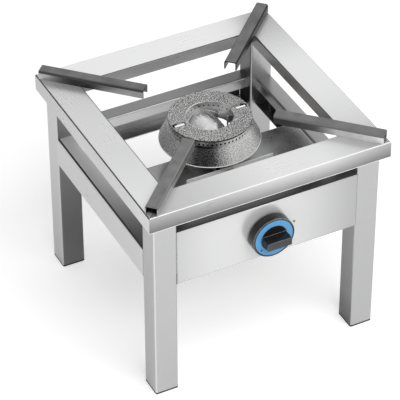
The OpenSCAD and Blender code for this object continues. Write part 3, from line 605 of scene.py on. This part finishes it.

# One finish for each rail, leg, panel and bar: lit and shaded copies of one metal, whose levels and tones hold painted
# light and shade
FINISHES = {
    "rail_front": brushed_sheet(
        "brushed_rail_front", "X", 0.76, [face_of("top_rail_front", "y", LOW), TOP_FACE], skirt=(0.92, 0.36),
        bend=(1.0, 1.5 * MM), run=("x", FRONT_RUN), metallic=RAIL_METALLIC, lower_edge_highlight=True),
    "rail_rear": brushed_sheet(
        "brushed_rail_rear", "X", 0.83, [face_of("top_rail_rear", "y", HIGH), TOP_FACE], skirt=(0.8, 0.5),
        bend=(0.25, RIDGE_REACH), run=("x", REAR_RUN), inner_level=0.5, metallic=RAIL_METALLIC,
        fold_shade=(face_of("top_rail_rear", "y", LOW), 1.6 * MM)),
    "rail_left": brushed_sheet(
        "brushed_rail_left", "Y", 0.65, [face_of("top_rail_left", "x", LOW), TOP_FACE], skirt=(0.98, 0.98),
        bend=(0.12, RIDGE_REACH), run=("y", LEFT_RUN), metallic=RAIL_METALLIC,
        fold_shade=(face_of("top_rail_left", "x", HIGH), 2.5 * MM)),
    "rail_right": brushed_sheet(
        "brushed_rail_right", "Y", 0.78, [face_of("top_rail_right", "x", HIGH), TOP_FACE], skirt=(0.8, 0.5),
        bend=(0.25, RIDGE_REACH), run=("y", RIGHT_RUN), metallic=RAIL_METALLIC,
        fold_shade=(face_of("top_rail_right", "x", LOW), 1.6 * MM)),
    "leg": brushed_sheet(
        "brushed_leg", "Z", 0.74, ridge=[face_of("leg_front_left", "x", LOW), face_of("leg_front_left", "y", LOW)]),
    "leg_right": brushed_sheet(
        "brushed_leg_right", "Z", 0.70, [face_of("leg_front_right", "y", LOW)], inner_level=0.6,
        inner=[(face_of("leg_front_right", "x", LOW), "z", LEG_SIDE)]),
    "leg_far": brushed_sheet(
        "brushed_leg_far", "Z", 0.66, [face_of("leg_rear_right", "y", LOW)], inner_level=0.22),
    "leg_shaded": brushed_sheet(
        "brushed_leg_shaded", "Z", 0.88, [face_of("leg_rear_left", "x", LOW)], inner_level=0.31),
    "panel_front": brushed_sheet(
        "brushed_panel_front", "X", 0.92, [face_of("front_panel", "y", LOW)], rough=0.22, run=("x", PANEL_RUN),
        hem=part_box("front_panel")[LOW].z, metallic=0.45, inner_level=0.12),
    "panel_rear": brushed_sheet(
        "brushed_panel_rear", "X", 0.78, [face_of("rear_panel", "y", HIGH)], inner_level=0.6,
        ridge=[face_of("rear_panel", "y", LOW), face_of("rear_panel", "z", HIGH)],
        inner=[(REAR_PANEL_INSIDE, "x", REAR_INSIDE), (face_of("rear_panel", "y", LOW), "x", REAR_LIP),
               (face_of("rear_panel", "z", HIGH), "x", REAR_LEDGE)]),
    "panel_left": brushed_sheet(
        "brushed_panel_left", "Y", 0.98, [face_of("left_panel", "x", LOW)], shadow_reach=4 * MM, metallic=0.35,
        inner=[(face_of("left_panel", "z", HIGH), "y", LEFT_LEDGE)]),
    "panel_right": brushed_sheet("brushed_panel_right", "Y", 0.86, [face_of("right_panel", "x", HIGH)]),
    "bar_front_left": bar_steel("bar_steel_front_left", (0.15, 0.23), 0.55, under_top_shade=0.5, inside=0.015),
    "bar_front_right": bar_steel("bar_steel_front_right", BAR_TOP, 0.9, BAR_LIT_END, metallic=0.4),
    "bar_rear_left": bar_steel("bar_steel_rear_left", BAR_TOP, 0.6, BAR_SHADED_END),
    "bar_rear_right": bar_steel("bar_steel_rear_right", BAR_TOP, 0.09),
    # The plate's dark steel tones are painted shade under the burner
    "plate": plain_sheet(
        "plate_sheet", (0.28, 0.282, 0.284), (0.40, 0.402, 0.404), (0.22, 0.34), PLATE_FRONT, PLATE_TOP),
    "cast": cast_metal("cast_grey"),
    "bright": turned_metal("bright_steel", 0.88, 0.96, (0.2, 0.28)),
    "bracket": painted_sheet("bracket_coat", 0.82),
    "zinc": turned_metal("zinc_plate", (0.45, 0.46, 0.47), (0.62, 0.63, 0.64), (0.25, 0.4)),
    "brass": turned_metal("turned_brass", (0.32, 0.265, 0.165), (0.44, 0.37, 0.24), (0.25, 0.42)),
    "copper": turned_metal("copper_pipe", (0.45, 0.23, 0.14), (0.66, 0.38, 0.26), (0.22, 0.4)),
    "mark": moulded_plastic("dial_mark", (0.02, 0.03, 0.05), (0.03, 0.04, 0.07), (0.4, 0.5)),
    "foot": moulded_plastic("foot_plastic", (0.025, 0.025, 0.026), (0.04, 0.04, 0.042), (0.5, 0.65)),
    "knob": knob_plastic("knob_plastic"),
    # Painted highlights on the knob's rounded edges
    "knob_rim_highlight": moulded_plastic("knob_rim_highlights", (0.11, 0.11, 0.112), (0.28, 0.28, 0.285), (0.25, 0.4)),
    "ring": moulded_plastic("ring_blue", (0.105, 0.40, 0.78), (0.125, 0.43, 0.82), (0.3, 0.4), 0.01 * MM),
    "index": moulded_plastic("index_olive", (0.22, 0.24, 0.06), (0.28, 0.30, 0.09), (0.4, 0.5)),
}


def link_piece(name, mesh, finish, body):
    """Puts a finished mesh in the scene as a piece on its body."""
    piece = bpy.data.objects.new(name, mesh)
    scene.collection.objects.link(piece)
    mesh.materials.clear()
    mesh.materials.append(FINISHES[finish])
    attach(piece, body)
    return piece


def dressed(node, finish, body="stove", edge=0.0, rim=None):
    """A smooth-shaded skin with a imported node's own shape, welded, its sharp edges rounded where edge gives a width.

    The rounded edges wear the finish of the rim, where one is given.
    """
    mesh = bpy.data.meshes.new(node + "_skin")
    form = bmesh.new()
    form.from_mesh(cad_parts[node].data)
    bmesh.ops.remove_doubles(form, verts=form.verts, dist=WELD)
    bmesh.ops.dissolve_limit(form, angle_limit=FLAT_ANGLE, verts=form.verts, edges=form.edges)
    if edge:
        sharp = [e for e in form.edges if len(e.link_faces) == 2 and e.calc_face_angle() > EDGE_ANGLE]
        bmesh.ops.bevel(form, geom=sharp, offset=edge, offset_type="OFFSET", segments=2, profile=0.5,
                        affect="EDGES", clamp_overlap=True, material=1 if rim else -1)
    form.to_mesh(mesh)
    form.free()
    for polygon in mesh.polygons:
        polygon.use_smooth = True
    mesh.set_sharp_from_angle(angle=SHARP_ANGLE)
    slots = [polygon.material_index for polygon in mesh.polygons]
    piece = link_piece(node + "_skin", mesh, finish, body)
    if rim:
        mesh.materials.append(FINISHES[rim])
        mesh.polygons.foreach_set("material_index", slots)
    even = piece.modifiers.new("even_shading", "WEIGHTED_NORMAL")
    even.keep_sharp = True
    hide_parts(node)


def lathed(form, profile, sides):
    """Adds a turned shape: rings of radius and height, closed at both ends."""
    rings = []
    for radius, height in profile:
        angles = [2 * math.pi * i / sides for i in range(sides)]
        rings.append([form.verts.new((radius * math.cos(a), radius * math.sin(a), height)) for a in angles])
    for low, high in zip(rings, rings[1:]):
        for i in range(sides):
            j = (i + 1) % sides
            form.faces.new((low[i], low[j], high[j], high[i]))
    form.faces.new(list(reversed(rings[0])))
    form.faces.new(rings[-1])


def mesh_of(form, name):
    """A plain mesh of a finished form, which it frees."""
    mesh = bpy.data.meshes.new(name)
    form.to_mesh(mesh)
    form.free()
    return mesh


def bolt_mesh(name, head_r, head_h, shank_r, reach, stack=None, nut_h=0.0, sides=6):
    """A bolt that hangs from its seat: chamfered head above, ridged thread below, and a nut under the stack."""
    form = bmesh.new()
    chamfer = 0.14 * head_r
    face_h = 0.1 * head_h
    lathed(form, [(head_r * 0.9, 0), (head_r * 0.9, face_h)], 24)
    lathed(form, [(head_r, face_h), (head_r, head_h - chamfer / 2), (head_r - chamfer, head_h)], sides)
    ridges = max(4, int(reach / (0.3 * shank_r)))
    thread = [(shank_r * 0.7, -reach)]
    for i in range(ridges, 0, -1):
        thread.append((shank_r * (0.87 if i % 2 else 1.0), -reach * i / (ridges + 1)))
    thread.append((shank_r * 0.9, face_h / 2))
    lathed(form, thread, 16)
    if stack is not None:
        low, high = -stack - nut_h, -stack
        narrow = head_r - chamfer
        lathed(form, [(narrow, low), (head_r, low + chamfer / 2), (head_r, high - chamfer / 2), (narrow, high)], sides)
    bmesh.ops.recalc_face_normals(form, faces=form.faces)
    return mesh_of(form, name)


def loose_parts(mesh):
    """The box of each separate solid in a mesh, as its low and high corners."""
    form = bmesh.new()
    form.from_mesh(mesh)
    bmesh.ops.remove_doubles(form, verts=form.verts, dist=WELD)
    seen, boxes = set(), []
    for start in form.verts:
        if start in seen:
            continue
        group, front = [], [start]
        seen.add(start)
        while front:
            vert = front.pop()
            group.append(vert.co.copy())
            for edge in vert.link_edges:
                other = edge.other_vert(vert)
                if other not in seen:
                    seen.add(other)
                    front.append(other)
        low = Vector([min(c[i] for c in group) for i in range(3)])
        high = Vector([max(c[i] for c in group) for i in range(3)])
        boxes.append((low, high))
    form.free()
    return boxes


def instanced(name, template, places, turn, finish):
    """Puts one shape at every point by Geometry Nodes, made real as one plain mesh."""
    points = bpy.data.meshes.new(name + "_points")
    points.from_pydata([tuple(p) for p in places], [], [])
    holder = bpy.data.objects.new(name + "_holder", points)
    shape = bpy.data.objects.new(name + "_shape", template)
    scene.collection.objects.link(holder)
    scene.collection.objects.link(shape)
    tree = bpy.data.node_groups.new(name + "_set", "GeometryNodeTree")
    tree.interface.new_socket("Geometry", in_out="INPUT", socket_type="NodeSocketGeometry")
    shape_socket = tree.interface.new_socket("Shape", in_out="INPUT", socket_type="NodeSocketObject")
    turn_socket = tree.interface.new_socket("Turn", in_out="INPUT", socket_type="NodeSocketVector")
    skin_socket = tree.interface.new_socket("Finish", in_out="INPUT", socket_type="NodeSocketMaterial")
    tree.interface.new_socket("Geometry", in_out="OUTPUT", socket_type="NodeSocketGeometry")
    given = tree.nodes.new("NodeGroupInput")
    made = tree.nodes.new("NodeGroupOutput")
    info = tree.nodes.new("GeometryNodeObjectInfo")
    place = tree.nodes.new("GeometryNodeInstanceOnPoints")
    real = tree.nodes.new("GeometryNodeRealizeInstances")
    coat = tree.nodes.new("GeometryNodeSetMaterial")
    tree.links.new(given.outputs["Shape"], info.inputs["Object"])
    tree.links.new(given.outputs["Geometry"], place.inputs["Points"])
    tree.links.new(info.outputs["Geometry"], place.inputs["Instance"])
    tree.links.new(given.outputs["Turn"], place.inputs["Rotation"])
    tree.links.new(place.outputs["Instances"], real.inputs["Geometry"])
    tree.links.new(real.outputs["Geometry"], coat.inputs["Geometry"])
    tree.links.new(given.outputs["Finish"], coat.inputs["Material"])
    tree.links.new(coat.outputs["Geometry"], made.inputs["Geometry"])
    row = holder.modifiers.new("row", "NODES")
    row.node_group = tree
    row[shape_socket.identifier] = shape
    row[turn_socket.identifier] = turn
    row[skin_socket.identifier] = FINISHES[finish]
    bpy.context.view_layer.update()
    graph = bpy.context.evaluated_depsgraph_get()
    mesh = bpy.data.meshes.new_from_object(holder.evaluated_get(graph), depsgraph=graph)
    mesh.name = name
    bpy.data.objects.remove(holder)
    bpy.data.objects.remove(shape)
    return mesh


def fasteners(node, template, sets):
    """Detailed bolts in the places of a node's plain ones; each set is a turn and a rule for its seats."""
    boxes = loose_parts(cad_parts[node].data)
    form = bmesh.new()
    for number, (turn, seat) in enumerate(sets):
        places = [place for place in (seat(low, high, (low + high) / 2) for low, high in boxes) if place]
        part = instanced(f"{node}_set_{number}", template, places, turn, "zinc")
        form.from_mesh(part)
        bpy.data.meshes.remove(part)
    mesh = mesh_of(form, node + "_set")
    bpy.data.meshes.remove(template)
    piece = link_piece(node + "_set", mesh, "zinc", "stove")
    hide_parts(node)


def build_fasteners():
    """Bolts and screws in their built sizes, heads on the built side."""
    quarter = math.pi / 2
    head_r, head_h, shank_r, stack = 5.5 * MM, 4 * MM, 3 * MM, 3 * MM
    fasteners("plate_bolts", bolt_mesh("plate_bolt", head_r, head_h, shank_r, 10 * MM, stack, nut_h=5 * MM), [
        ((0, -quarter, 0), lambda low, high, mid: (low.x + head_h, mid.y, mid.z) if mid.x > 0 else None),
        ((0, quarter, 0), lambda low, high, mid: (high.x - head_h, mid.y, mid.z) if mid.x < 0 else None),
    ])
    fasteners("burner_bolts", bolt_mesh("burner_bolt", head_r, head_h, shank_r, 4.5 * MM), [
        ((math.pi, 0, 0), lambda low, high, mid: (mid.x, mid.y, low.z + head_h)),
    ])
    screw_h = 2.8 * MM
    fasteners("bracket_screws", bolt_mesh("bracket_screw", 4.5 * MM, screw_h, 2.5 * MM, 9 * MM, stack, nut_h=4 * MM), [
        ((0, 0, 0), lambda low, high, mid: (mid.x, mid.y, high.z - screw_h)),
    ])
    flat_h = 2.2 * MM
    fasteners("valve_screws", bolt_mesh("valve_screw", 3.5 * MM, flat_h, 2 * MM, 5 * MM, sides=20), [
        ((quarter, 0, 0), lambda low, high, mid: (mid.x, low.y + flat_h, mid.z)),
    ])


def build_dial_marks():
    """Two small plain drops on the blue ring, for a small and a large flame."""
    low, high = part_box("knob_dial_ring")
    middle_z = (low.z + high.z) / 2
    face_y = low.y - 0.04 * MM
    mark_r, depth, steps = 26.6 * MM, 0.2 * MM, 24
    form = bmesh.new()
    for turn, size in ((math.radians(218), 2.4 * MM), (math.radians(-8), 1.7 * MM)):
        at_x = mark_r * math.cos(turn)
        at_z = middle_z + mark_r * math.sin(turn)
        ring = []
        for i in range(steps):
            angle = 2 * math.pi * i / steps
            narrow = 0.5 - 0.35 * math.sin(angle)
            ring.append((at_x + size * narrow * math.cos(angle), at_z + size * math.sin(angle)))
        front, back = [[form.verts.new((x, y, z)) for x, z in ring] for y in (face_y, face_y + depth)]
        form.faces.new(front)
        form.faces.new(list(reversed(back)))
        for i in range(steps):
            j = (i + 1) % steps
            form.faces.new((front[i], back[i], back[j], front[j]))
    bmesh.ops.recalc_face_normals(form, faces=form.faces)
    link_piece("dial_marks", mesh_of(form, "dial_marks"), "mark", "knob")


# The still pieces: a slot, the width of the rounded edges in mm, and the finish of each node
DRESSED = [
    ("brushed_sheet", 0.25, {
        "top_rail_front": "rail_front", "top_rail_rear": "rail_rear",
        "top_rail_left": "rail_left", "top_rail_right": "rail_right",
        "leg_front_left": "leg", "leg_front_right": "leg_right",
        "leg_rear_left": "leg_shaded", "leg_rear_right": "leg_far",
        "front_panel": "panel_front", "rear_panel": "panel_rear",
        "left_panel": "panel_left", "right_panel": "panel_right"}),
    ("foot_plastic", 0.4, {
        "foot_front_left": "foot", "foot_front_right": "foot", "foot_rear_left": "foot", "foot_rear_right": "foot"}),
    ("bar_steel", 0.3, {
        "pot_bar_front_left": "bar_front_left", "pot_bar_front_right": "bar_front_right",
        "pot_bar_rear_left": "bar_rear_left", "pot_bar_rear_right": "bar_rear_right"}),
    ("plain_sheet", 0, {"burner_plate": "plate", "thermocouple_bracket": "plate"}),
    ("plain_sheet", 0.2, {"injector_bracket": "bracket"}),
    ("cast_grey", 0, {"burner_body": "cast"}),
    ("brass", 0, {
        "injector": "brass", "injector_holder": "brass", "valve_body": "brass", "feed_pipe_nuts": "brass",
        "supply_pipe_nuts": "brass", "inlet_connector": "brass", "inlet_locknut": "brass",
        "thermocouple_nut": "brass"}),
    ("copper_pipe", 0, {"feed_pipe": "copper", "supply_pipe": "copper", "thermocouple_lead": "copper"}),
    ("bright_steel", 0, {"thermocouple": "bright"}),
    ("index_paint", 0, {"index_rivet": "index"}),
]


def build_stove():
    for slot, edge, nodes in DRESSED:
        for node, finish in nodes.items():
            dressed(node, finish, edge=edge * MM)


def build_movers():
    dressed("valve_plug", "brass", "valve_core")
    dressed("valve_spindle", "bright", "knob")
    # The knob's rounded edges wear the painted highlight finish
    dressed("control_knob", "knob", "knob", 0.7 * MM, rim="knob_rim_highlight")
    dressed("knob_dial_ring", "ring", "knob", 0.2 * MM)
    dressed("burner_crown", "cast", "crown")
    dressed("crown_lift_bars", "bright", "crown", 0.3 * MM)
    dressed("air_shutter", "zinc", "shutter")


def make_world():
    """Plain studio: white for the camera, and soft light that falls off to the left for the metals."""
    world = bpy.data.worlds.new("studio")
    scene.world = world
    world.use_nodes = True
    world.node_tree.nodes.clear()
    studio = Wiring(world.node_tree)

    def backdrop(strength):
        node = studio.nodes.new("ShaderNodeBackground")
        studio.put(node.inputs["Strength"], strength)
        return node.outputs["Background"]

    def either(choice, first, second):
        node = studio.nodes.new("ShaderNodeMixShader")
        for socket, value in zip(node.inputs, (choice, first, second)):
            studio.put(socket, value)
        return node.outputs["Shader"]

    direction = studio.nodes.new("ShaderNodeTexCoord")
    side = studio.nodes.new("ShaderNodeVectorMath")
    side.operation = "DOT_PRODUCT"
    side.inputs[1].default_value = BRIGHT_SIDE
    studio.put(side.inputs[0], direction.outputs["Generated"])
    fall = studio.ranged(side.outputs["Value"], DIM_LEVEL, BRIGHT_LEVEL, FALL_START, FALL_END)
    fall.node.interpolation_type = "SMOOTHSTEP"
    path = studio.nodes.new("ShaderNodeLightPath")
    around = either(path.outputs["Is Glossy Ray"], backdrop(FILL_LEVEL), backdrop(fall))
    straight = studio.math_of("MAXIMUM", path.outputs["Is Camera Ray"], path.outputs["Is Transmission Ray"])
    output = studio.nodes.new("ShaderNodeOutputWorld")
    studio.put(output.inputs["Surface"], either(straight, around, backdrop(WHITE)))


def make_floor():
    """A wide pale floor that keeps the stove's shadow and is lifted to white where the camera sees it."""
    half = FLOOR_HALF
    mesh = bpy.data.meshes.new("floor")
    mesh.from_pydata([(-half, -half, 0), (half, -half, 0), (half, half, 0), (-half, half, 0)], [], [(0, 1, 2, 3)])
    floor = bpy.data.objects.new("floor", mesh)
    scene.collection.objects.link(floor)
    paper = Finish("floor_paper")
    paper.look("Base Color", opaque(FLOOR_TONE))
    paper.look("Roughness", 0.9)
    paper.look("Specular IOR Level", 0.0)
    paper.look("Emission Color", opaque(WHITE))
    path = paper.nodes.new("ShaderNodeLightPath")
    paper.look("Emission Strength", paper.math_of("MULTIPLY", path.outputs["Is Camera Ray"], FLOOR_LIFT))
    mesh.materials.append(paper.material)


def make_key():
    """One wide lamp high in front, which the metals don't mirror."""
    data = bpy.data.lights.new("key", "AREA")
    data.shape = "DISK"
    data.size = KEY_SIZE
    data.energy = KEY_POWER
    lamp = bpy.data.objects.new("key", data)
    scene.collection.objects.link(lamp)
    lamp.location = KEY_PLACE
    lamp.rotation_euler = (KEY_TARGET - KEY_PLACE).to_track_quat("-Z", "Y").to_euler()
    lamp.visible_glossy = False


make_camera()
build_stove()
build_fasteners()
build_movers()
build_dial_marks()
make_world()
make_floor()
make_key()

scene.view_settings.view_transform = "Standard"
